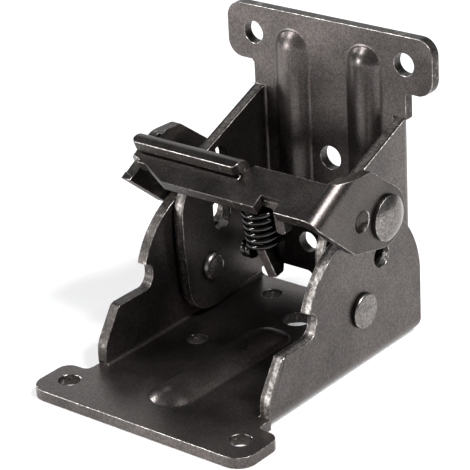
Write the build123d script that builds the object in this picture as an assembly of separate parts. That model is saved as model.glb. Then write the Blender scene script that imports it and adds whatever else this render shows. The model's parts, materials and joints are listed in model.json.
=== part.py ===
from build123d import *
from math import acos, atan2, cos, hypot, pi, radians, sin, sqrt, tan
import os

# Self-locking folding hinge of pressed sheet steel, in millimetres.
# X is across the hinge, Y runs back from the two ear holes of the base, Z is up from the face
# that the base is screwed down with. The leg bracket stands upright at rest and folds forward.

# Sheet and bends
sheet = 2.5
bend_inside = 0.9
bend_outside = bend_inside + sheet

# Main pivot and the line that the lock pin slides along, behind the pivot
pivot_y = 42.0
pivot_z = 13.9
slot_offset = 4.6

# Gaps between pieces
side_gap = 0.5
rivet_play = 0.08
pin_play = 0.08
rim_gap = 0.1
face_gap = 0.1
stop_gap = 0.1

# Lower bracket
base_half = 23.2
base_front = -6.8
base_rear = 63.3
ear_width = 5.6
ear_back = 5.7
ear_front_round = 4.2
ear_back_round = 2.8
neck_inset = 0.3
cheek_start = 9.4
ear_hole_inset = 5.8
ear_hole_radius = 2.4
base_hole_x = 12.4
base_hole_front = 29.5
base_hole_rear = 56.2
base_hole_radius = 2.3
base_bore_y = 49.0
base_bore_radius = 3.2
base_rib_front = 1.6
base_rib_rear = 42.6
base_rib_half = 5.2
base_corner_round = 3.0
rib_root = 1.3
rib_height = 2.0

# Cheeks of the lower bracket
cheek_front_low = 6.8
shelf_front = 14.6
rim_radius = 19.2
rear_radius = 21.4
rear_start = 49.5
notch_radius = 2.1
notch_depth_radius = 16.0
shelf_z = 14.5
fold_notch_low_round = 3.0
fold_notch_high_round = 2.0
side_hole_y = 49.1
side_hole_z = 23.7
side_hole_radius = 2.6

# Upper bracket
leg_face = 63.2
leg_top = 67.5
leg_ear_width = 6.9
leg_ear_bottom = 54.8
leg_ear_round = 3.8
leg_cheek_top = 49.3
leg_bottom = 6.7
tongue_half = 6.1
tongue_bottom = 0.4
leg_hole_inset = 7.2
leg_hole_z = 61.2
leg_hole_radius = 2.5
leg_bore_z = 35.8
leg_bore_radius = 2.7
leg_low_hole_x = 7.1
leg_low_hole_z = 13.8
leg_low_hole_radius = 2.4
leg_rib_x = 9.6
leg_rib_top = 63.4
leg_rib_bottom = 21.0
leg_rib_half = 4.3
leg_cheek_slope = 0.41
leg_cheek_corner_y = 38.0
leg_cheek_front = 8.7
leg_cheek_high = 30.0
leg_cheek_low = 21.3
leg_cheek_foot = 7.1
leg_cheek_bottom = 10.0
slot_low = 23.9
slot_high = 37.6

# Lock pin
pin_radius = 2.8
neck_radius = 1.6
pin_head_radius = 5.0
pin_head = 2.1

# Main rivets
rivet_radius = 2.5
rivet_head_radius = 3.9
rivet_head = 2.2
rivet_tail_radius = 3.2
rivet_tail = 1.4

# Release lever: a strap bent into a U, its front bar tilted back
arm_gap = 0.8
bar_y = 22.5
bar_z = 41.8
bar_width = 9.8
bar_angle = 29.5
arm_low_y = 35.6
arm_low_z = 29.8
arm_top_y = 41.8
arm_top_z = 46.2
arm_end_radius = 6.7
relief_high = 4.2
relief_inner_x = -13.0
relief_outer_x = -22.4
thumb_left = -24.6
thumb_right = 3.4
thumb_corner_s = 6.28
thumb_lip = 1.74
thumb_turn = 120.5
thumb_inside = 0.6
thumb_round = 2.0
bend_cut_s = 6.6
bend_cut_n = -1.4
lug_left = 10.9
lug_right = 15.6
lug_bend_s = 3.2
lug_inside = 0.7
lug_end = 2.5
lug_tail_left = 13.2
lug_tail_end = 8.4
finger_x = 7.8
finger_width = 2.2
finger_lean = 9.0
finger_knee = 13.4
foot_reach = 2.5
foot_end = 20.3
dimple_right = (38.1, 36.4)
dimple_left = (32.9, 37.5)
dimple_radius = 2.5
dimple_depth = 1.1
bump_height = 0.5

# Return spring on the lever's finger
wire_radius = 0.6
coil_radius = 3.4
coil_pitch = 1.47
coil_turns = 5.5
coil_start = 4.05
coil_x = 8.7
loop_radius = 1.5
loop_pitch = 1.25
loop_turns = 2.5
loop_x = 5.8
loop_drop = 1.4

# Sizes that follow from the ones above
base_inner = base_half - sheet
ear_reach = base_half + ear_width
ear_hole_x = ear_reach - ear_hole_inset
neck_half = base_half - neck_inset
leg_half = base_inner - side_gap
leg_inner = leg_half - sheet
leg_back = leg_face + sheet
leg_ear_reach = leg_half + leg_ear_width
leg_hole_x = leg_ear_reach - leg_hole_inset
pin_rest_radius = rim_radius + neck_radius + rim_gap
pin_y = pivot_y + slot_offset
pin_z = pivot_z + sqrt(pin_rest_radius ** 2 - slot_offset ** 2)
arm_inner = base_half + arm_gap
arm_outer = arm_inner + sheet
channel_height = leg_top
far = 100.0


def outline(corners, plane=Plane.XY):
    """A flat face from (x, y, radius) corners, each rounded by its own radius."""
    points = [(x, y) for x, y, radius in corners]
    rounds = [radius for x, y, radius in corners]
    return plane * make_face(FilletPolyline(*points, radius=rounds, close=True))


def mirrored(half):
    """Corners on the +X side, from front to back, joined to their mirror image."""
    return half + [(-x, y, radius) for x, y, radius in reversed(half)]


def channel(half, start, end):
    """A U section along Y: its web lies on z = 0, and its two flanges stand up."""
    length = end - start
    middle = (start + end) / 2
    outside = Pos(0, middle, channel_height / 2) * Box(2 * half, length, channel_height)
    low = outside.edges().filter_by(Axis.Y).group_by(Axis.Z)[0]
    outside = fillet(low, bend_outside)
    inside = Box(2 * (half - sheet), length, channel_height)
    inside = Pos(0, middle, sheet + channel_height / 2) * inside
    low = inside.edges().filter_by(Axis.Y).group_by(Axis.Z)[0]
    inside = fillet(low, bend_inside)
    return outside - inside


def side_prism(face, half):
    """A face in the YZ plane, drawn out to both sides of the middle."""
    return extrude(face, half, both=True)


def side_bore(y, z, radius):
    """A drill across the whole hinge at (y, z)."""
    return Pos(0, y, z) * Rot(0, 90, 0) * Cylinder(radius, far)


def down_bore(x, y, radius):
    return Pos(x, y, 0) * Cylinder(radius, far)


def capsule(radius, start, end):
    """A round bar along Y with ball ends, whose centres are at start and end."""
    bar = Pos(0, (start + end) / 2, 0) * Rot(90, 0, 0) * Cylinder(radius, end - start)
    return bar + Pos(0, start, 0) * Sphere(radius) + Pos(0, end, 0) * Sphere(radius)


def add_rib(plate, x, front, rear, half):
    """Presses a rib up from a sheet that lies on z = 0, with the groove on its underside."""
    crown = (half ** 2 + rib_height ** 2) / (2 * rib_height)
    axis_z = sheet + rib_height - crown
    start = front + half
    end = rear - half
    ridge = Pos(x, 0, axis_z) * capsule(crown, start, end)
    keep = Pos(x, (front + rear) / 2, sheet / 2 + 5) * Box(3 * half, rear - front + 2, 10)
    groove = Pos(x, 0, axis_z) * capsule(crown - sheet, start, end)
    ribbed = plate + (ridge & keep)
    root = [edge for edge in ribbed.edges() if on_rib_root(edge, x, half, front, rear)]
    return fillet(root, rib_root) - groove


def on_rib_root(edge, x, half, front, rear):
    """True for the edges where a rib rises from the sheet's upper face."""
    middle = edge @ 0.5
    level = abs(middle.Z - sheet) < 0.01 and abs((edge @ 0).Z - sheet) < 0.01
    beside = abs(middle.X - x) < half + 0.1 and front - 0.1 < middle.Y < rear + 0.1
    return level and beside


def tangent_point(point, centre, radius, side):
    """Where a line from the point touches the circle, on the side given as 1 or -1."""
    dy = point[0] - centre[0]
    dz = point[1] - centre[1]
    turn = atan2(dz, dy) + side * acos(radius / hypot(dy, dz))
    return (centre[0] + radius * cos(turn), centre[1] + radius * sin(turn))


def lock_notch():
    """The notch that locks the leg upright: a slot along the pin's line, open at the top."""
    end = notch_depth_radius + notch_radius
    slot = Pos(slot_offset, (end + far) / 2) * Rectangle(2 * notch_radius, far - end)
    slot += Pos(slot_offset, end) * Circle(notch_radius)
    return Plane.YZ * Pos(pivot_y, pivot_z) * slot


def fold_notch():
    """The rounded notch that locks the leg folded: it opens to the front above the shelf."""
    end = pivot_y - notch_depth_radius
    lip = pivot_z + slot_offset + neck_radius + rim_gap
    return outline([
        (-far, shelf_z, 0),
        (end, shelf_z, fold_notch_low_round),
        (end, lip, fold_notch_high_round),
        (-far, lip, 0),
    ], Plane.YZ)


def make_lower_bracket():
    foot = outline([
        (cheek_start, -1, 0),
        (cheek_start, cheek_front_low, 6),
        (shelf_front, shelf_z, 1.6),
        (pivot_y, shelf_z, 0),
        (base_rear, shelf_z, 0),
        (base_rear, 0, base_corner_round),
        (base_rear - 2 * base_corner_round, 0, 0),
        (base_rear - 2 * base_corner_round, -1, 0),
    ], Plane.YZ)
    rim = Plane.YZ * Pos(pivot_y, pivot_z) * Circle(rim_radius)
    rear = Plane.YZ * Pos(pivot_y, pivot_z) * Circle(rear_radius)
    rear = rear & (Plane.YZ * Pos((rear_start + far) / 2, far / 2) * Rectangle(far - rear_start, far))
    above = Plane.YZ * Pos(0, far / 2) * Rectangle(2 * far, far)
    side = (foot + rim + rear) & above
    side = side - lock_notch() - fold_notch()
    flat = outline(mirrored([
        (ear_reach, base_front, ear_front_round),
        (ear_reach, ear_back, ear_back_round),
        (neck_half, ear_back, 1.5),
        (neck_half, cheek_start + 0.6, 0),
        (base_half - bend_outside, cheek_start + 0.6, 0),
        (base_half - bend_outside, base_rear - stop_gap - 0.1, 0),
    ]))
    plate = add_rib(extrude(flat, sheet), 0, base_rib_front, base_rib_rear, base_rib_half)
    body = channel(base_half, cheek_start, base_rear) & side_prism(side, base_half)
    body -= Pos(0, base_rear / 2, 0) * Box(base_half, base_rear, 3 * sheet)
    body += plate
    stop = base_rear - leg_face + stop_gap
    body -= Pos(0, base_rear, 0) * Box(2 * leg_half + 1, 2 * stop, 2 * sheet)
    for x in (-ear_hole_x, ear_hole_x):
        body -= down_bore(x, 0, ear_hole_radius)
    for x in (-base_hole_x, base_hole_x):
        for y in (base_hole_front, base_hole_rear):
            body -= down_bore(x, y, base_hole_radius)
    body -= down_bore(0, base_bore_y, base_bore_radius)
    body -= side_bore(pivot_y, pivot_z, rivet_radius)
    body -= side_bore(side_hole_y, side_hole_z, side_hole_radius)
    return body


def make_upper_bracket():
    corner_z = leg_cheek_top - leg_cheek_slope * (leg_face - leg_cheek_corner_y)
    front = pivot_y - leg_cheek_front
    bottom = pivot_z - leg_cheek_bottom
    side = outline([
        (front, leg_cheek_high, 9),
        (leg_cheek_corner_y, corner_z, 4),
        (leg_face, leg_cheek_top, 0),
        (leg_back + 1, leg_cheek_top, 0),
        (leg_back + 1, leg_bottom, 0),
        (leg_face - 1, leg_bottom, 0),
        (pivot_y + 2, bottom, 6),
        (pivot_y - leg_cheek_foot, bottom, 7.5),
        (front, leg_cheek_low, 30),
    ], Plane.YZ)
    slot = Rectangle(2 * (pin_radius + pin_play), slot_high - slot_low)
    slot = Pos(pin_y, (slot_low + slot_high) / 2) * slot
    for z in (slot_low, slot_high):
        slot += Pos(pin_y, z) * Circle(pin_radius + pin_play)
    side -= Plane.YZ * slot
    flat = outline(mirrored([
        (tongue_half, tongue_bottom, 1.0),
        (tongue_half, leg_bottom, 1.6),
        (leg_half - bend_outside, leg_bottom, 0),
        (leg_half - bend_outside, leg_cheek_top - 0.6, 0),
        (leg_half, leg_cheek_top - 0.6, 0),
        (leg_half, leg_ear_bottom, 0.8),
        (leg_ear_reach, leg_ear_bottom, leg_ear_round),
        (leg_ear_reach, leg_top, leg_ear_round),
    ]))
    plate = extrude(flat, sheet)
    for x in (-leg_rib_x, leg_rib_x):
        plate = add_rib(plate, x, leg_rib_bottom, leg_rib_top, leg_rib_half)
    for x in (-leg_hole_x, leg_hole_x):
        plate -= down_bore(x, leg_hole_z, leg_hole_radius)
    for x in (-leg_low_hole_x, leg_low_hole_x):
        plate -= down_bore(x, leg_low_hole_z, leg_low_hole_radius)
    plate -= down_bore(0, leg_bore_z, leg_bore_radius)
    upright = Pos(0, leg_back, 0) * Rot(90, 0, 0)
    body = upright * channel(leg_half, 0, leg_cheek_top)
    body = body & side_prism(side, leg_half)
    body -= Pos(0, leg_back, leg_cheek_top / 2) * Box(leg_half, 3 * sheet, leg_cheek_top + 1)
    body += upright * plate
    return body - side_bore(pivot_y, pivot_z, rivet_radius + rivet_play)


def turned(x0, x1, radius, y, z, edge=0.0):
    """A round length along X from x0 to x1, with the rim of its x1 end rounded by the edge size."""
    piece = Pos((x0 + x1) / 2, y, z) * Rot(0, 90, 0) * Cylinder(radius, abs(x1 - x0))
    if edge:
        rims = piece.edges().filter_by(GeomType.CIRCLE).sort_by(Axis.X)
        piece = fillet(rims[-1] if x1 > x0 else rims[0], edge)
    return piece


def make_rivet(side):
    """One main rivet: flat head outside, shank through both cheeks, peened tail inside."""
    head_start = base_half
    tail_end = leg_inner - face_gap
    shank = turned(side * tail_end, side * head_start, rivet_radius, pivot_y, pivot_z)
    head = turned(side * head_start, side * (head_start + rivet_head), rivet_head_radius,
                  pivot_y, pivot_z, 0.5)
    tail = turned(side * tail_end, side * (tail_end - rivet_tail), rivet_tail_radius,
                  pivot_y, pivot_z, 1.2)
    return shank + head + tail


def make_lock_pin():
    shoulder = leg_half + side_gap / 2
    pin = turned(-shoulder, shoulder, pin_radius, pin_y, pin_z)
    for side in (-1, 1):
        neck_end = arm_outer + face_gap
        pin += turned(side * shoulder, side * neck_end, neck_radius, pin_y, pin_z)
        pin += turned(side * neck_end, side * (neck_end + pin_head), pin_head_radius,
                      pin_y, pin_z, 0.4)
    return pin


def bar_plane():
    """Local frame of the lever's bar: x across, y up its face from the lower edge, z outwards."""
    lean = radians(bar_angle)
    return Plane(origin=(0, bar_y, bar_z), x_dir=(1, 0, 0), z_dir=(0, -sin(lean), cos(lean)))


def finger_plane():
    """Local frame of the lug's plate: x across, y up towards its bend, z out of its front."""
    slope = radians(finger_lean)
    lean = radians(bar_angle)
    down = (sin(slope), -cos(slope))
    bend_y = bar_y + lug_bend_s * cos(lean)
    bend_z = bar_z + lug_bend_s * sin(lean)
    return Plane(origin=(0, bend_y, bend_z), x_dir=(1, 0, 0), z_dir=(0, down[1], -down[0]))


def make_lever():
    plane = bar_plane()
    lean = radians(bar_angle)
    bar_top = (bar_y + bar_width * cos(lean), bar_z + bar_width * sin(lean))
    front = (-2 * sin(lean), 2 * cos(lean))
    centre = (pin_y, pin_z)
    low = tangent_point((arm_low_y, arm_low_z), centre, arm_end_radius, 1)
    high = tangent_point((arm_top_y, arm_top_z), centre, arm_end_radius, -1)
    side = outline([
        (bar_y + front[0], bar_z + front[1], 0),
        (bar_y, bar_z, 0),
        (bar_y + sheet * sin(lean), bar_z - sheet * cos(lean), 1.0),
        (arm_low_y, arm_low_z, 1.6),
        (low[0], low[1], 0),
        (pin_y, pin_z, 0),
        (high[0], high[1], 0),
        (arm_top_y, arm_top_z, 1.8),
        (bar_top[0], bar_top[1], 0),
        (bar_top[0] + front[0], bar_top[1] + front[1], 0),
    ], Plane.YZ)
    side += Plane.YZ * Pos(*centre) * Circle(arm_end_radius)
    strap = plane * Rot(0, 180, 0) * channel(arm_outer, -40, 40)
    body = strap & side_prism(side, arm_outer)
    for side, place in ((1, dimple_right), (-1, dimple_left)):
        body = press_dimple(body, side, place)

    # The bar's upper edge is square to the sheet between the arms
    above = Pos(0, bar_width + 10, -10) * Box(2 * (arm_inner - bend_inside), 20, 30)
    body -= plane * above

    # The bar's lower left corner is cut away
    relief = outline([
        (-arm_outer - 1, -3, 0),
        (-arm_outer - 1, relief_high, 0),
        (relief_outer_x, relief_high, 2.0),
        (relief_inner_x, -0.3, 3.0),
        (relief_inner_x + 3, -3, 0),
    ])
    body -= plane * Pos(0, 0, -bend_outside + 0.2) * extrude(relief, bend_outside + 2)

    # Left of the thumb flange's end, the bar's upper edge gives way to the flange
    flat_left = -arm_inner + bend_inside
    flat_start = thumb_corner_s - thumb_inside * tan(radians(thumb_turn / 2))
    window = outline([
        (flat_left, flat_start, 0),
        (flat_left, 2 * bar_width, 0),
        (thumb_right + 1.6, 2 * bar_width, 0),
        (thumb_right + 1.6, bar_width - 0.2, 1.2),
        (thumb_right, bar_width - 1.6, 1.2),
        (thumb_right, flat_start, 0),
    ])
    body -= plane * Pos(0, 0, -sheet - 3) * extrude(window, sheet + 6)
    corner = Box(2 * bend_outside, 2 * bar_width, 10, align=(Align.MAX, Align.MIN, Align.MIN))
    body -= plane * Pos(flat_left + 0.01, bend_cut_s, bend_cut_n) * corner
    body += make_thumb(plane, flat_start)

    # The lug is cut from the bar's lower edge and bent back
    notch = Box(lug_right - lug_left + 0.4, 2 * lug_bend_s, 3 * sheet)
    body -= plane * Pos((lug_left + lug_right) / 2, 0, 0) * notch
    body += make_lug(plane)
    return body - side_bore(pin_y, pin_z, neck_radius + pin_play)


def make_thumb(plane, flat_start):
    """The thumb flange: the bar's upper part rolled forward over its face, with round corners."""
    turn = radians(thumb_turn)
    lip = (cos(turn), sin(turn))
    across = (sin(turn), -cos(turn))
    low = (thumb_corner_s + thumb_lip * lip[0], thumb_lip * lip[1])
    high = (low[0] + sheet * across[0], low[1] + sheet * across[1])
    back = (high[1] + sheet) / lip[1]
    outer_s = high[0] - back * lip[0]
    profile = outline([
        (flat_start - 2, -sheet, 0),
        (outer_s, -sheet, thumb_inside + sheet),
        (high[0], high[1], 0),
        (low[0], low[1], 0),
        (thumb_corner_s, 0, thumb_inside),
        (flat_start - 2, 0, 0),
    ])
    roll = Pos(thumb_left, 0, 0) * Rot(90, 90, 0) * extrude(profile, thumb_right - thumb_left)
    flange = Plane(origin=(0, *low), x_dir=(1, 0, 0), z_dir=(0, *across))
    for end, inward in ((thumb_left, 1), (thumb_right, -1)):
        square = Pos(0, 0, sheet / 2) * Box(thumb_round, thumb_round, 2 * sheet)
        nick = Pos(end + inward * thumb_round / 2, thumb_round / 2, 0) * square
        nick -= Pos(end + inward * thumb_round, thumb_round, 0) * Cylinder(thumb_round, 5 * sheet)
        roll -= flange * nick
    return plane * roll


def make_lug(plane):
    """The lug with the spring's finger and its angled foot, joined to the bar by its bend."""
    lug = finger_plane()
    foot_x = finger_x + foot_reach
    half = finger_width / 2
    sole = half / cos(atan2(foot_reach, foot_end - finger_knee))
    plate = outline([
        (lug_left, -1, 0),
        (lug_left, -lug_end + 0.8, 0),
        (finger_x - half, -lug_end + 0.8, 0.5),
        (finger_x - half, -finger_knee, 0.8),
        (foot_x - sole, -foot_end, 0.3),
        (foot_x + sole, -foot_end + 0.6, 0.3),
        (finger_x + half, -finger_knee + 0.7, 0.8),
        (finger_x + half, -lug_end, 0.3),
        (lug_tail_left, -lug_end, 0.5),
        (lug_tail_left, -lug_tail_end, 0.8),
        (lug_right, -lug_tail_end, 0.8),
        (lug_right, -1, 0),
    ])
    plate = lug * Pos(0, 0, -sheet) * extrude(plate, sheet)
    return plate + make_lug_bend(plane, lug)


def make_lug_bend(plane, lug):
    """The bend between the bar and the lug, as a sheet profile drawn across the lug's width."""
    bar_top = plane.from_local_coords(Vector(0, lug_bend_s + 5, 0))
    bar_under = plane.from_local_coords(Vector(0, lug_bend_s + 5, -sheet))
    corner = lug.from_local_coords(Vector(0, 0, 0))
    low = lug.from_local_coords(Vector(0, -lug_end, 0))
    low_under = lug.from_local_coords(Vector(0, -lug_end, -sheet))
    turn = radians(90 - bar_angle + finger_lean) / 2
    inside = Vector(0, lug_bend_s + sheet * tan(turn), -sheet)
    inside = plane.from_local_coords(inside)
    profile = outline([
        (bar_top.Y, bar_top.Z, 0),
        (corner.Y, corner.Z, lug_inside + sheet),
        (low.Y, low.Z, 0),
        (low_under.Y, low_under.Z, 0),
        (inside.Y, inside.Z, lug_inside),
        (bar_under.Y, bar_under.Z, 0),
    ], Plane.YZ)
    return Pos(lug_left, 0, 0) * extrude(profile, lug_right - lug_left)


def press_dimple(body, side, place):
    """A round dimple in an arm's outer face, with its bump on the inner face."""
    ball = (dimple_radius ** 2 + dimple_depth ** 2) / (2 * dimple_depth)
    hollow = Pos(side * (arm_outer - dimple_depth + ball), *place) * Rot(0, 0, 90) * Sphere(ball)
    crown = (dimple_radius ** 2 + bump_height ** 2) / (2 * bump_height)
    bump = Pos(side * (arm_inner - bump_height + crown), *place) * Rot(0, 0, 90) * Sphere(crown)
    inside = Pos(side * (arm_inner + sheet / 4 - bump_height), *place)
    bump = bump & (inside * Box(sheet / 2 + 2 * bump_height, 8, 8))
    return body + bump - hollow


def make_spring():
    """The return spring: a coil round the finger, whose lower end is wound into small loops."""
    coil = Helix(coil_pitch, coil_pitch * coil_turns, coil_radius)
    coil = Pos(coil_x, -coil_start, -sheet / 2) * Rot(90, 0, 0) * coil
    end = coil @ 1
    loops = Helix(loop_pitch, loop_pitch * loop_turns, loop_radius)
    loops = Pos(loop_x, end.Y - loop_drop - loop_radius, end.Z) * Rot(0, -90, 0) * Rot(0, 0, 90) * loops
    start = loops @ 0
    leaving = (end - coil @ 0.999).normalized()
    arriving = (loops @ 0.001 - start).normalized()
    link = Spline(end, start, tangents=(leaving, arriving))
    path = Wire([coil.edges()[0], link.edges()[0], loops.edges()[0]])
    section = Plane(origin=path @ 0, z_dir=path % 0) * Circle(wire_radius)
    return finger_plane() * sweep(section, path, is_frenet=True)


def write(name, shape):
    solids = shape.solids()
    print(name, len(solids), "solid", round(sum(s.volume for s in solids), 1), "mm3")
    export_step(shape, f"parts/{name}.step")


os.makedirs("parts", exist_ok=True)
write("lower_bracket", make_lower_bracket())
write("upper_bracket", make_upper_bracket())
write("pivot_rivet_right", make_rivet(1))
write("pivot_rivet_left", make_rivet(-1))
write("lock_pin", make_lock_pin())
write("lock_lever", make_lever())
write("return_spring", make_spring())
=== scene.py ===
import json
import math

import bpy
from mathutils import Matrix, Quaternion, Vector

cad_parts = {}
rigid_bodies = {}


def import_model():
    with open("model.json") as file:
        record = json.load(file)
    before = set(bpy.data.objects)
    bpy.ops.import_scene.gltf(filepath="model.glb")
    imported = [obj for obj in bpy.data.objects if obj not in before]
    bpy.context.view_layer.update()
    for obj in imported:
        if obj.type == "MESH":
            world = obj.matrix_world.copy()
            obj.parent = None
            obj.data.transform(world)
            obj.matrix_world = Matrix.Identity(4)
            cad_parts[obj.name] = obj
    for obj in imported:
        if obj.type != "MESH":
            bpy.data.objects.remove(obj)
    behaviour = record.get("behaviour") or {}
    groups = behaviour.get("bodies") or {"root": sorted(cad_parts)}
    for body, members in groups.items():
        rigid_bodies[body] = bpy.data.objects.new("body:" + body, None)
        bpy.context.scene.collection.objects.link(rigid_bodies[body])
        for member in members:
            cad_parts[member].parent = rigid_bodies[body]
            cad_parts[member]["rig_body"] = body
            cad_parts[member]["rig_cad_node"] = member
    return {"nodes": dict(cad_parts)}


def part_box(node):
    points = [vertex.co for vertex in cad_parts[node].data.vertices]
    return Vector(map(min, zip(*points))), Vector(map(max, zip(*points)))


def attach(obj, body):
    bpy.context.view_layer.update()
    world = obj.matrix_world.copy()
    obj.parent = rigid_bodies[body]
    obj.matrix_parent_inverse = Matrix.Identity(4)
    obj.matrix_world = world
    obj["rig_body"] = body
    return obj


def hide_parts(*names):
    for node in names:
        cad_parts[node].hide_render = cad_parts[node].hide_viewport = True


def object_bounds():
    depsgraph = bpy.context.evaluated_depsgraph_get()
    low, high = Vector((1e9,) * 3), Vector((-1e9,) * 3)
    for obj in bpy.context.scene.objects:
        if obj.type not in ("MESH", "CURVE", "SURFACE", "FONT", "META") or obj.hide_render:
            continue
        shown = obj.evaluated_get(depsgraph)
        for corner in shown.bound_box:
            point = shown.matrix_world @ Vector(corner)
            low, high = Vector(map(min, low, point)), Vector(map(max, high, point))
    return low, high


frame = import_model()
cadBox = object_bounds()
nodes = frame["nodes"]
mm = 0.001
print("frame loaded:", len(nodes), "nodes")

# The noises that every finish is made of, and the stretch of each over which the colour changes
cloudNoise = {"detail": 4.0, "roughness": 0.6, "start": 0.30, "end": 0.70}
grainNoise = {"detail": 2.0, "roughness": 0.6, "start": 0.35, "end": 0.68}
# Spots of bare steel where the black finish has gone, which on the broken edges also stand in as a
# painted glint: the larger a finish's share of wear and glint, the lower they start
wearAndGlintSpots = {
    "scale": 900.0, "detail": 3.0, "roughness": 0.65,
    "start": 0.62, "startDrop": 0.30, "fade": 0.10, "least": 0.25,
    "colour": (0.62, 0.59, 0.57),
}
# Streaks in the lighter half of a cheek's sheared wall
bandStreaks = {
    "scale": 1300.0, "detail": 3.0, "roughness": 0.6,
    "start": 0.40, "end": 0.62, "strength": (0.15, 0.85),
}


def startMaterial(name):
    material = bpy.data.materials.new(name)
    material.use_nodes = True
    tree = material.node_tree
    shader = tree.nodes["Principled BSDF"]
    return material, tree, shader


def addNoise(tree, scale, noise):
    place = tree.nodes.new("ShaderNodeTexCoord")
    texture = tree.nodes.new("ShaderNodeTexNoise")
    texture.inputs["Scale"].default_value = scale
    texture.inputs["Detail"].default_value = noise["detail"]
    texture.inputs["Roughness"].default_value = noise["roughness"]
    tree.links.new(place.outputs["Object"], texture.inputs["Vector"])
    return texture.outputs["Fac"]


def addRamp(tree, source, noise, dark, light):
    ramp = tree.nodes.new("ShaderNodeValToRGB")
    stops = ((noise["start"], dark), (noise["end"], light))
    for element, (position, colour) in zip(ramp.color_ramp.elements, stops):
        element.position = position
        element.color = (*colour, 1)
    tree.links.new(source, ramp.inputs["Fac"])
    return ramp.outputs["Color"]


def addRange(tree, source, span, values):
    # Runs from the first value to the second while the source crosses the span
    spread = tree.nodes.new("ShaderNodeMapRange")
    spread.inputs["From Min"].default_value = span[0]
    spread.inputs["From Max"].default_value = span[1]
    spread.inputs["To Min"].default_value = values[0]
    spread.inputs["To Max"].default_value = values[1]
    tree.links.new(source, spread.inputs["Value"])
    return spread.outputs["Result"]


def addMath(tree, operation, *values):
    # A value is a number or another node's output, and every result lies between 0 and 1
    step = tree.nodes.new("ShaderNodeMath")
    step.operation = operation
    step.use_clamp = True
    for socket, value in zip(step.inputs, values):
        if isinstance(value, float):
            socket.default_value = value
        else:
            tree.links.new(value, socket)
    return step.outputs[0]


def addBump(tree, shader, source, strength, distance):
    bump = tree.nodes.new("ShaderNodeBump")
    bump.inputs["Strength"].default_value = strength
    bump.inputs["Distance"].default_value = distance
    tree.links.new(source, bump.inputs["Height"])
    tree.links.new(bump.outputs["Normal"], shader.inputs["Normal"])


def multiplyColours(tree, first, second):
    mix = tree.nodes.new("ShaderNodeMix")
    mix.data_type = "RGBA"
    mix.blend_type = "MULTIPLY"
    mix.inputs["Factor"].default_value = 1.0
    tree.links.new(first, mix.inputs["A"])
    tree.links.new(second, mix.inputs["B"])
    return mix.outputs["Result"]


def mixByMask(tree, base, colour, mask):
    mix = tree.nodes.new("ShaderNodeMix")
    mix.data_type = "RGBA"
    tree.links.new(mask, mix.inputs["Factor"])
    tree.links.new(base, mix.inputs["A"])
    mix.inputs["B"].default_value = (*colour, 1)
    return mix.outputs["Result"]


def addCheekBand(tree, band):
    # 1 on the outer half of a cheek's sheared wall, 0 elsewhere
    place = tree.nodes.new("ShaderNodeTexCoord")
    parts = tree.nodes.new("ShaderNodeSeparateXYZ")
    tree.links.new(place.outputs["Object"], parts.inputs["Vector"])
    across, height = parts.outputs["X"], parts.outputs["Z"]
    if band["bothCheeks"]:
        across = addMath(tree, "ABSOLUTE", across)
    inner = addRange(tree, across, (band["inner"], band["inner"] + band["fade"]), (0.0, 1.0))
    outer = addRange(tree, across, (band["outer"], band["outer"] + band["fade"]), (1.0, 0.0))
    above = addRange(tree, height, (band["above"], band["above"] + band["fade"]), (0.0, 1.0))
    return addMath(tree, "MULTIPLY", addMath(tree, "MULTIPLY", inner, outer), above)


def makeSteel(name, look, band=None):
    material, tree, shader = startMaterial(name)
    cloud = addNoise(tree, look["cloudScale"], cloudNoise)
    grain = addNoise(tree, look["grainScale"], grainNoise)
    clouds = addRamp(tree, cloud, cloudNoise, look["dark"], look["light"])
    pits, flecks = ((level, level, level) for level in look["specks"])
    specks = addRamp(tree, grain, grainNoise, pits, flecks)
    colour = multiplyColours(tree, clouds, specks)
    # Bright flecks of wear, which on the broken edges also paint a glint
    if look["wearAndGlintShare"]:
        wear = addNoise(tree, wearAndGlintSpots["scale"], wearAndGlintSpots)
        start = wearAndGlintSpots["start"] - wearAndGlintSpots["startDrop"] * look["wearAndGlintShare"]
        strength = wearAndGlintSpots["least"] + look["wearAndGlintShare"]
        wearAndGlintMask = addRange(tree, wear, (start, start + wearAndGlintSpots["fade"]), (0.0, strength))
        colour = mixByMask(tree, colour, wearAndGlintSpots["colour"], wearAndGlintMask)
    if band:
        streaks = addNoise(tree, bandStreaks["scale"], bandStreaks)
        span = (bandStreaks["start"], bandStreaks["end"])
        streakAmount = addRange(tree, streaks, span, bandStreaks["strength"])
        mask = addMath(tree, "MULTIPLY", addCheekBand(tree, band), streakAmount)
        colour = mixByMask(tree, colour, band["colour"], mask)
    tree.links.new(colour, shader.inputs["Base Color"])
    shader.inputs["Metallic"].default_value = look["metallic"]
    rough = addRange(tree, cloud, (cloudNoise["start"], cloudNoise["end"]), look["roughness"])
    tree.links.new(rough, shader.inputs["Roughness"])
    addBump(tree, shader, grain, look["bump"], look["bumpDepth"])
    return material


# Finishes: cloud is the slow change of tone and grain the fine pitting, with scales in repeats
# a metre, and specks is how much darker and lighter the grain makes the colour
rolledSteel = makeSteel("rolledSteel", {
    "dark": (0.078, 0.070, 0.067), "light": (0.142, 0.124, 0.118), "cloudScale": 70.0,
    "specks": (0.70, 1.28), "grainScale": 2300.0, "bump": 0.4, "bumpDepth": 0.03 * mm,
    "roughness": (0.26, 0.38), "metallic": 0.95, "wearAndGlintShare": 0.0,
})
leverSteel = makeSteel("leverSteel", {
    "dark": (0.056, 0.050, 0.047), "light": (0.106, 0.094, 0.089), "cloudScale": 90.0,
    "specks": (0.70, 1.28), "grainScale": 2300.0, "bump": 0.4, "bumpDepth": 0.03 * mm,
    "roughness": (0.27, 0.39), "metallic": 0.97, "wearAndGlintShare": 0.0,
})
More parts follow.
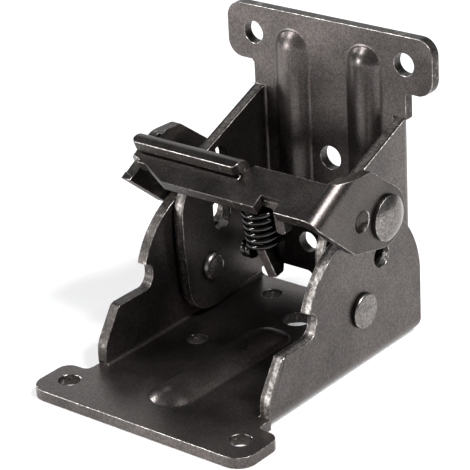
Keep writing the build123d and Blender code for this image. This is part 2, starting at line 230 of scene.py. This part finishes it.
# Broken edges: a light colour with many bright flecks, partly wear and partly a painted glint
wornGlintEdge = makeSteel("wornGlintEdge", {
    "dark": (0.120, 0.110, 0.103), "light": (0.310, 0.292, 0.280), "cloudScale": 240.0,
    "specks": (0.60, 1.30), "grainScale": 1500.0, "bump": 0.2, "bumpDepth": 0.02 * mm,
    "roughness": (0.28, 0.38), "metallic": 1.0, "wearAndGlintShare": 0.42,
})
leverWornGlintEdge = makeSteel("leverWornGlintEdge", {
    "dark": (0.120, 0.109, 0.102), "light": (0.340, 0.320, 0.305), "cloudScale": 240.0,
    "specks": (0.60, 1.30), "grainScale": 1500.0, "bump": 0.2, "bumpDepth": 0.02 * mm,
    "roughness": (0.32, 0.42), "metallic": 1.0, "wearAndGlintShare": 0.46,
})
shadedSide = makeSteel("shadedSide", {
    "dark": (0.030, 0.027, 0.025), "light": (0.055, 0.050, 0.047), "cloudScale": 180.0,
    "specks": (0.66, 1.35), "grainScale": 2000.0, "bump": 0.4, "bumpDepth": 0.03 * mm,
    "roughness": (0.40, 0.52), "metallic": 0.9, "wearAndGlintShare": 0.0,
})
rivetSteel = makeSteel("rivetSteel", {
    "dark": (0.165, 0.149, 0.142), "light": (0.235, 0.218, 0.209), "cloudScale": 180.0,
    "specks": (0.66, 1.35), "grainScale": 2000.0, "bump": 0.5, "bumpDepth": 0.04 * mm,
    "roughness": (0.20, 0.30), "metallic": 0.95, "wearAndGlintShare": 0.06,
})
blackWire = makeSteel("blackWire", {
    "dark": (0.036, 0.035, 0.034), "light": (0.060, 0.058, 0.056), "cloudScale": 300.0,
    "specks": (0.95, 1.05), "grainScale": 3000.0, "bump": 0.05, "bumpDepth": 0.01 * mm,
    "roughness": (0.08, 0.13), "metallic": 1.0, "wearAndGlintShare": 0.0,
})

# The sheared walls, coloured darker than the rolled faces as painted shade, plain on the lever and
# lighter on the cheeks' outer half
cutWallShadeLook = {
    "dark": (0.042, 0.037, 0.034), "light": (0.085, 0.076, 0.071), "cloudScale": 160.0,
    "specks": (0.62, 1.45), "grainScale": 1900.0, "bump": 0.6, "bumpDepth": 0.04 * mm,
    "roughness": (0.36, 0.50), "metallic": 0.9, "wearAndGlintShare": 0.08,
}
cutWallShade = makeSteel("cutWallShade", cutWallShadeLook)
# A cheek's wall is lighter between inner and outer, seen across the hinge, and above a height
baseWall = makeSteel("baseWall", cutWallShadeLook, {
    "inner": 21.6 * mm, "outer": 22.9 * mm, "above": 2.6 * mm, "fade": 0.3 * mm,
    "bothCheeks": False, "colour": (0.400, 0.375, 0.360),
})
legWall = makeSteel("legWall", cutWallShadeLook, {
    "inner": 18.0 * mm, "outer": 19.4 * mm, "above": 0.5 * mm, "fade": 0.3 * mm,
    "bothCheeks": True, "colour": (0.260, 0.240, 0.225),
})
print("materials made")

sheetMetal = {
    "thickest": 2.9 * mm,       # a face with no more steel than this behind it is a rolled face
    "rayStart": 0.005 * mm,     # how far under a face the ray that finds its far side sets off
    "mergeGap": 0.001 * mm,
    "edgeWidth": 0.16 * mm,
    "edgeSegments": 2,
    "flatAngle": 0.04,          # faces that differ less than this, in degrees, become one
    "bendAngle": 24,            # faces that differ less than this belong to one region
    "smoothAngle": 35,
    "sharpAngle": 38,           # an edge sharper than this is broken where it sticks out
}
# The places of a pressed piece's materials in its list
rolledFace, shearedWall, brokenEdge = range(3)


def selectOnly(piece):
    bpy.ops.object.select_all(action="DESELECT")
    piece.select_set(True)
    bpy.context.view_layer.objects.active = piece


def joinAll(pieces):
    # The first piece keeps its name and takes the others in
    selectOnly(pieces[0])
    for piece in pieces[1:]:
        piece.select_set(True)
    bpy.ops.object.join()
    return pieces[0]


def setMaterials(piece, materials):
    piece.data.materials.clear()
    for material in materials:
        piece.data.materials.append(material)


def copyNode(nodeName, pieceName):
    selectOnly(nodes[nodeName])
    bpy.ops.object.duplicate()
    piece = bpy.context.active_object
    piece.name = pieceName
    piece.parent = None
    # The copy is a piece of its own, so it drops what marks it as a CAD node
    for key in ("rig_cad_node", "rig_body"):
        if key in piece:
            del piece[key]
    bpy.ops.object.mode_set(mode="EDIT")
    bpy.ops.mesh.select_all(action="SELECT")
    bpy.ops.mesh.remove_doubles(threshold=sheetMetal["mergeGap"])
    bpy.ops.object.mode_set(mode="OBJECT")
    return piece


def facesByEdge(mesh):
    pairs = {}
    for face in mesh.polygons:
        for key in face.edge_keys:
            pairs.setdefault(key, []).append(face.index)
    return pairs


def smoothRegions(mesh):
    # Faces that run into each other without a sharp edge belong to one region
    limit = math.cos(math.radians(sheetMetal["bendAngle"]))
    neighbours = {}
    for pair in facesByEdge(mesh).values():
        if len(pair) != 2:
            continue
        first, second = (mesh.polygons[index] for index in pair)
        if first.normal.dot(second.normal) > limit:
            neighbours.setdefault(first.index, []).append(second.index)
            neighbours.setdefault(second.index, []).append(first.index)
    seen = set()
    regions = []
    for face in mesh.polygons:
        if face.index in seen:
            continue
        region = [face.index]
        seen.add(face.index)
        for index in region:
            for other in neighbours.get(index, []):
                if other not in seen:
                    seen.add(other)
                    region.append(other)
        regions.append(region)
    return regions


def sortSheetFaces(piece):
    # Rolled faces have one sheet thickness behind them, and the sheared walls have more
    mesh = piece.data
    for region in smoothRegions(mesh):
        rolled = 0.0
        total = 0.0
        for index in region:
            face = mesh.polygons[index]
            inward = -face.normal
            start = face.center + inward * sheetMetal["rayStart"]
            hit, place = piece.ray_cast(start, inward)[:2]
            total += face.area
            if hit and (place - face.center).length < sheetMetal["thickest"]:
                rolled += face.area
        for index in region:
            mesh.polygons[index].material_index = rolledFace if rolled > total / 2 else shearedWall


def markOuterEdges(mesh):
    # Only edges that stick out are broken, not the corners that lie inside a shape
    limit = math.cos(math.radians(sheetMetal["sharpAngle"]))
    pairs = facesByEdge(mesh)
    weights = mesh.attributes.new("bevel_weight_edge", "FLOAT", "EDGE")
    for edge in mesh.edges:
        pair = pairs.get(edge.key, [])
        if len(pair) != 2:
            continue
        first, second = (mesh.polygons[index] for index in pair)
        if first.normal.dot(second.normal) > limit:
            continue
        across = second.center - mesh.vertices[edge.vertices[0]].co
        if across.dot(first.normal) < 0:
            weights.data[edge.index].value = 1.0


def breakEdges(piece):
    markOuterEdges(piece.data)
    sides = [[vertex.co[axis] for vertex in piece.data.vertices] for axis in range(3)]
    box = [(min(side), max(side)) for side in sides]
    bevel = piece.modifiers.new("brokenEdges", "BEVEL")
    bevel.width = sheetMetal["edgeWidth"]
    bevel.segments = sheetMetal["edgeSegments"]
    bevel.limit_method = "WEIGHT"
    bevel.use_clamp_overlap = False
    bevel.material = brokenEdge
    selectOnly(piece)
    bpy.ops.object.modifier_apply(modifier="brokenEdges")
    # A bevel that meets a tight corner must not stand out of the sheet's own box
    for vertex in piece.data.vertices:
        vertex.co = [min(max(value, low), high) for value, (low, high) in zip(vertex.co, box)]


def smoothSheet(piece):
    selectOnly(piece)
    bpy.ops.object.shade_smooth_by_angle(angle=math.radians(sheetMetal["smoothAngle"]))
    flatten = piece.modifiers.new("flatFaces", "WEIGHTED_NORMAL")
    flatten.keep_sharp = True
    bpy.ops.object.modifier_apply(modifier="flatFaces")


def dressSheet(piece, nodeName, body, materials, shadedEdgeSpots=()):
    setMaterials(piece, materials)
    sortSheetFaces(piece)
    selectOnly(piece)
    flat = math.radians(sheetMetal["flatAngle"])
    bpy.ops.object.mode_set(mode="EDIT")
    bpy.ops.mesh.select_all(action="SELECT")
    bpy.ops.mesh.dissolve_limited(angle_limit=flat, delimit={"MATERIAL"})
    bpy.ops.object.mode_set(mode="OBJECT")
    breakEdges(piece)
    # In the shaded edge spots a broken edge keeps the wall's dark colour as painted shade, instead
    # of the light edge colour with its painted glint
    for face in piece.data.polygons:
        if any((face.center - centre).length < radius for centre, radius in shadedEdgeSpots):
            face.material_index = min(face.material_index, shearedWall)
    smoothSheet(piece)
    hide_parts(nodeName)
    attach(piece, body)
    print("dressed", piece.name, len(piece.data.polygons), "faces")


baseBracket = copyNode("lower_bracket", "baseBracket")
dressSheet(baseBracket, "lower_bracket", "lower", (rolledSteel, baseWall, wornGlintEdge))
legBracket = copyNode("upper_bracket", "legBracket")
dressSheet(legBracket, "upper_bracket", "upper", (rolledSteel, legWall, wornGlintEdge))

# The lever in millimetres and degrees. A place on its bar is x across, s up its face and n out
# of it, and a box's size and a spot's centre are given the same way.
lever = {
    "barEdge": (22.5, 41.8),        # the bar's lower front edge, as y and z
    "barLean": 29.5,
    "sheet": 2.5,
    # The thumb flange is the sheet folded back in a hem, with a short lip
    "thumbLeft": -24.6,
    "thumbRight": 3.4,
    "hemStart": 6.5,
    "hemCentre": 6.9,
    "hemInside": 0.3,
    "hemTurn": 174,
    "hemSteps": 14,
    "lipLength": 1.35,
    "lipRound": 1.25,
    "lipSteps": 6,
    # Boxes that take the CAD lever's plain flange away: centre, size, and turn on the bar's face
    "cuts": (
        ((-11.1, 7.7, 2.52), (29.4, 8.6, 5.0), 0),          # what stands above the bar's face
        ((-10.2, 9.6, 1.0), (27.3, 6.0, 9.0), 0),           # what lies past the hem's start
        ((-24.0, 3.55, -1.0), (2.2, 1.3, 3.4), 0),          # the sliver under the relief cut
        ((-25.0, 3.24, -1.2), (4.6, 3.0, 4.4), -19.65),     # its end, along the bar's slanted end
    ),
    # Centre and radius of the places where broken edges stay dark, as painted shade
    "shadedEdgeSpots": [
        ((13.2, 1.5, -1.2), 4.6),       # round the spring finger's notch
        ((3.4, 7.2, 0.2), 1.2),         # in the hem's right corner
        *(((x, 0, 0), 2.6) for x in range(-26, 10, 3)),     # along the bar's lower edge
    ],
}


def onBar(x, s, n):
    lean = math.radians(lever["barLean"])
    y = lever["barEdge"][0] + s * math.cos(lean) - n * math.sin(lean)
    z = lever["barEdge"][1] + s * math.sin(lean) + n * math.cos(lean)
    return Vector((x, y, z)) * mm


def cutAway(piece, centre, size, turn):
    bpy.ops.object.select_all(action="DESELECT")
    bpy.ops.mesh.primitive_cube_add(size=mm, location=onBar(*centre))
    cutter = bpy.context.active_object
    cutter.scale = size
    lean = Quaternion((1, 0, 0), math.radians(lever["barLean"]))
    cutter.rotation_mode = "QUATERNION"
    cutter.rotation_quaternion = lean @ Quaternion((0, 0, 1), math.radians(turn))
    boolean = piece.modifiers.new("cutAway", "BOOLEAN")
    boolean.operation = "DIFFERENCE"
    boolean.solver = "EXACT"
    boolean.object = cutter
    selectOnly(piece)
    bpy.ops.object.modifier_apply(modifier="cutAway")
    bpy.data.objects.remove(cutter)


def makeThumbFlange():
    # A strip on the bar's face, spun round the hem, drawn out into the lip and then thickened
    left, right = lever["thumbLeft"], lever["thumbRight"]
    start, centre = lever["hemStart"], lever["hemCentre"]
    middle = onBar((left + right) / 2, (start + centre) / 2, 0)
    lean = (math.radians(lever["barLean"]), 0, 0)
    bpy.ops.object.select_all(action="DESELECT")
    bpy.ops.mesh.primitive_plane_add(size=mm, location=middle, rotation=lean)
    flange = bpy.context.active_object
    flange.name = "thumbFlange"
    flange.scale = (right - left, centre - start, 1)
    bpy.ops.object.transform_apply(location=True, rotation=True, scale=True)
    for part in (flange.data.polygons, flange.data.edges):
        for item in part:
            item.select = False
    for vertex in flange.data.vertices:
        vertex.select = vertex.co.z > middle.z
    bpy.ops.object.mode_set(mode="EDIT")
    bpy.ops.mesh.select_mode(type="VERT")
    turn = math.radians(lever["hemTurn"])
    pivot = onBar(0, centre, lever["hemInside"])
    bpy.ops.mesh.spin(steps=lever["hemSteps"], angle=-turn, center=pivot, axis=(1, 0, 0))
    lip = (onBar(0, math.cos(turn), math.sin(turn)) - onBar(0, 0, 0)) * lever["lipLength"]
    bpy.ops.mesh.extrude_region_move(TRANSFORM_OT_translate={"value": lip})
    bpy.ops.mesh.bevel(affect="VERTICES", offset=lever["lipRound"] * mm, segments=lever["lipSteps"])
    bpy.ops.mesh.select_all(action="SELECT")
    bpy.ops.mesh.normals_make_consistent(inside=False)
    bpy.ops.object.mode_set(mode="OBJECT")
    thicken = flange.modifiers.new("sheet", "SOLIDIFY")
    thicken.thickness = lever["sheet"] * mm
    thicken.offset = 1
    bpy.ops.object.modifier_apply(modifier="sheet")
    return flange


def makeLever():
    piece = copyNode("lock_lever", "releaseLever")
    for centre, size, turn in lever["cuts"]:
        cutAway(piece, centre, size, turn)
    return joinAll([piece, makeThumbFlange()])


leverShadedEdgeSpots = [(onBar(*centre), radius * mm) for centre, radius in lever["shadedEdgeSpots"]]
dressSheet(makeLever(), "lock_lever", "lever", (leverSteel, cutWallShade, leverWornGlintEdge), leverShadedEdgeSpots)


def coat(nodeName, material):
    for slot in nodes[nodeName].material_slots:
        slot.material = material
    print("coated", nodeName)


coat("return_spring", blackWire)

turnedSteel = {
    "endAbove": 0.80,           # a face that looks further along the pin than this is an end
    "sideBelow": 0.30,          # one that looks less along it is a side, and the rest are rims
    "smoothAngle": 30,
    "headFace": 1.0 * mm,       # how deep a rivet head's outer face and rounded rim are
    "headCut": 1.1 * mm,        # how much flatter the real rivet heads are than the CAD heads
}
# The places of a turned piece's materials in its list
turnedEnd, turnedRim, turnedSide = range(3)


def dressTurned(piece, nodeName, body):
    # A turned piece's rims take the edge colour with its painted glint, and its sides the dark
    # painted shade of shadedSide
    setMaterials(piece, (rivetSteel, wornGlintEdge, shadedSide))
    for face in piece.data.polygons:
        along = abs(face.normal.x)
        if along > turnedSteel["endAbove"]:
            face.material_index = turnedEnd
        elif along < turnedSteel["sideBelow"]:
            face.material_index = turnedSide
        else:
            face.material_index = turnedRim
    selectOnly(piece)
    bpy.ops.object.shade_smooth_by_angle(angle=math.radians(turnedSteel["smoothAngle"]))
    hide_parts(nodeName)
    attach(piece, body)
    print("turned", piece.name)


def makeRivet(nodeName, pieceName, side):
    piece = copyNode(nodeName, pieceName)
    end = max(vertex.co.x * side for vertex in piece.data.vertices)
    for vertex in piece.data.vertices:
        if vertex.co.x * side > end - turnedSteel["headFace"]:
            vertex.co.x -= side * turnedSteel["headCut"]
    return piece


dressTurned(makeRivet("pivot_rivet_left", "hingeRivetLeft", -1), "pivot_rivet_left", "lower")
dressTurned(makeRivet("pivot_rivet_right", "hingeRivetRight", 1), "pivot_rivet_right", "lower")

# The pin that carries the lever: radii, and distances from the middle of the hinge
crossPin = {
    "shaft": 2.8 * mm,
    "shoulder": 20.45 * mm,
    "neck": 1.6 * mm,
    "neckEnd": 26.6 * mm,
    "head": 5.0 * mm,
    "headRim": 27.3 * mm,       # where the head's straight rim ends and its dome starts
    # How far each ring of the dome goes in and out, in millimetres
    "domeSteps": (
        (0.12, 0.12), (0.68, 0.37), (0.80, 0.36), (1.00, 0.33), (1.20, 0.22), (0.90, 0.06),
    ),
    "capFacing": 0.9,           # a face that looks further along the pin than this is the cap
    "sides": 64,
}


def addRod(name, radius, start, end, centre):
    bpy.ops.object.select_all(action="DESELECT")
    bpy.ops.mesh.primitive_cylinder_add(
        vertices=crossPin["sides"], radius=radius, depth=abs(end - start),
        location=((start + end) / 2, *centre), rotation=(0, math.pi / 2, 0))
    rod = bpy.context.active_object
    rod.name = name
    bpy.ops.object.transform_apply(location=True, rotation=True, scale=True)
    return rod


def domeCap(piece, side):
    bpy.ops.object.mode_set(mode="EDIT")
    bpy.ops.mesh.select_mode(type="FACE")
    bpy.ops.mesh.select_all(action="DESELECT")
    bpy.ops.object.mode_set(mode="OBJECT")
    for face in piece.data.polygons:
        face.select = face.normal.x * side > crossPin["capFacing"]
    bpy.ops.object.mode_set(mode="EDIT")
    for inward, outward in crossPin["domeSteps"]:
        bpy.ops.mesh.inset(thickness=inward * mm, depth=outward * mm)
    bpy.ops.object.mode_set(mode="OBJECT")


def makeCrossPin():
    low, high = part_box("lock_pin")
    centre = ((low[1] + high[1]) / 2, (low[2] + high[2]) / 2)
    shoulder, neckEnd, rim = (crossPin[key] for key in ("shoulder", "neckEnd", "headRim"))
    rods = [addRod("crossPin", crossPin["shaft"], -shoulder, shoulder, centre)]
    for side in (1, -1):
        rods.append(addRod("pinNeck", crossPin["neck"], side * shoulder, side * neckEnd, centre))
        rods.append(addRod("pinHead", crossPin["head"], side * neckEnd, side * rim, centre))
        domeCap(rods[-1], side)
    return joinAll(rods)


dressTurned(makeCrossPin(), "lock_pin", "lock_pin")

# Where the photograph was taken from, in metres, with the roll in degrees and the lens and
# sensor in millimetres
camera = {
    "place": (0.28064, -0.30771, 0.22950),
    "aim": (-0.01070, 0.04215, 0.02280),
    "roll": -3.04,
    "lens": 176.8,
    "sensor": 36,
    "near": 0.01,
    "far": 50,
}

# Soft boxes round the hinge: place and aim, then width and height in metres, and power in watts
lamps = {
    "keyBox": {
        "place": (0.52, 0.03, 0.69), "aim": (0, 0.03, 0.03), "size": (0.28, 0.20), "power": 9.0,
    },
    "leftBox": {
        "place": (-0.50, -0.52, 0.70), "aim": (0, 0.02, 0.03), "size": (0.12, 0.16), "power": 3.8,
    },
    "ribBox": {
        "place": (-0.92, 0.02, 0.46), "aim": (0, 0, 0.01), "size": (0.12, 0.12), "power": 4.6,
    },
    "frontBox": {
        "place": (-0.50, -0.66, 0.14), "aim": (0, 0.02, 0.02), "size": (0.16, 0.20), "power": 3.2,
    },
    "backBox": {
        "place": (-0.60, 0.74, 0.44), "aim": (0, 0, 0), "size": (0.60, 0.50), "power": 0.9,
    },
}

studio = {
    "floorSize": 6.0,
    "floorDrop": 0.05 * mm,
    "floorColour": (0.68, 0.68, 0.68, 1),
    "floorGlow": 0.34,
    "worldColour": (0.96, 0.98, 1.0, 1),
    "worldStrength": 0.16,
}


def addAimed(name, data, place, aim, roll=0.0):
    holder = bpy.data.objects.new(name, data)
    bpy.context.scene.collection.objects.link(holder)
    look = (Vector(aim) - Vector(place)).to_track_quat("-Z", "Y")
    holder.location = place
    holder.rotation_mode = "QUATERNION"
    holder.rotation_quaternion = look @ Quaternion((0, 0, 1), math.radians(roll))
    return holder


def makeCamera():
    data = bpy.data.cameras.new("photoCamera")
    data.lens = camera["lens"]
    data.sensor_width = camera["sensor"]
    data.clip_start = camera["near"]
    data.clip_end = camera["far"]
    holder = addAimed("photoCamera", data, camera["place"], camera["aim"], camera["roll"])
    bpy.context.scene.camera = holder


def makeLamp(name, lamp):
    data = bpy.data.lights.new(name, "AREA")
    data.shape = "RECTANGLE"
    data.size, data.size_y = lamp["size"]
    data.energy = lamp["power"]
    addAimed(name, data, lamp["place"], lamp["aim"])


def makePaleFloor():
    # Matt, with a glow that only the camera, gloss and glass can see
    material = bpy.data.materials.new("paleFloor")
    material.use_nodes = True
    tree = material.node_tree
    tree.nodes.clear()
    diffuse = tree.nodes.new("ShaderNodeBsdfDiffuse")
    diffuse.inputs["Color"].default_value = studio["floorColour"]
    glow = tree.nodes.new("ShaderNodeEmission")
    glow.inputs["Color"].default_value = (1, 1, 1, 1)
    rays = tree.nodes.new("ShaderNodeLightPath")
    seen = rays.outputs["Is Camera Ray"]
    for ray in ("Is Glossy Ray", "Is Transmission Ray"):
        seen = addMath(tree, "ADD", seen, rays.outputs[ray])
    strength = addMath(tree, "MULTIPLY", seen, studio["floorGlow"])
    tree.links.new(strength, glow.inputs["Strength"])
    total = tree.nodes.new("ShaderNodeAddShader")
    tree.links.new(diffuse.outputs[0], total.inputs[0])
    tree.links.new(glow.outputs[0], total.inputs[1])
    output = tree.nodes.new("ShaderNodeOutputMaterial")
    tree.links.new(total.outputs[0], output.inputs["Surface"])
    return material


def makeFloor():
    bpy.ops.object.select_all(action="DESELECT")
    low = cadBox[0][2] - studio["floorDrop"]
    bpy.ops.mesh.primitive_plane_add(size=studio["floorSize"], location=(0, 0, low))
    floor = bpy.context.active_object
    floor.name = "studioFloor"
    floor.data.materials.append(makePaleFloor())


def makeWorld():
    world = bpy.data.worlds.new("studioWorld")
    world.use_nodes = True
    background = world.node_tree.nodes["Background"]
    background.inputs["Color"].default_value = studio["worldColour"]
    background.inputs["Strength"].default_value = studio["worldStrength"]
    bpy.context.scene.world = world


makeCamera()
for lampName, lamp in lamps.items():
    makeLamp(lampName, lamp)
makeFloor()
makeWorld()
bpy.context.scene.view_settings.view_transform = "Standard"
print("studio set")
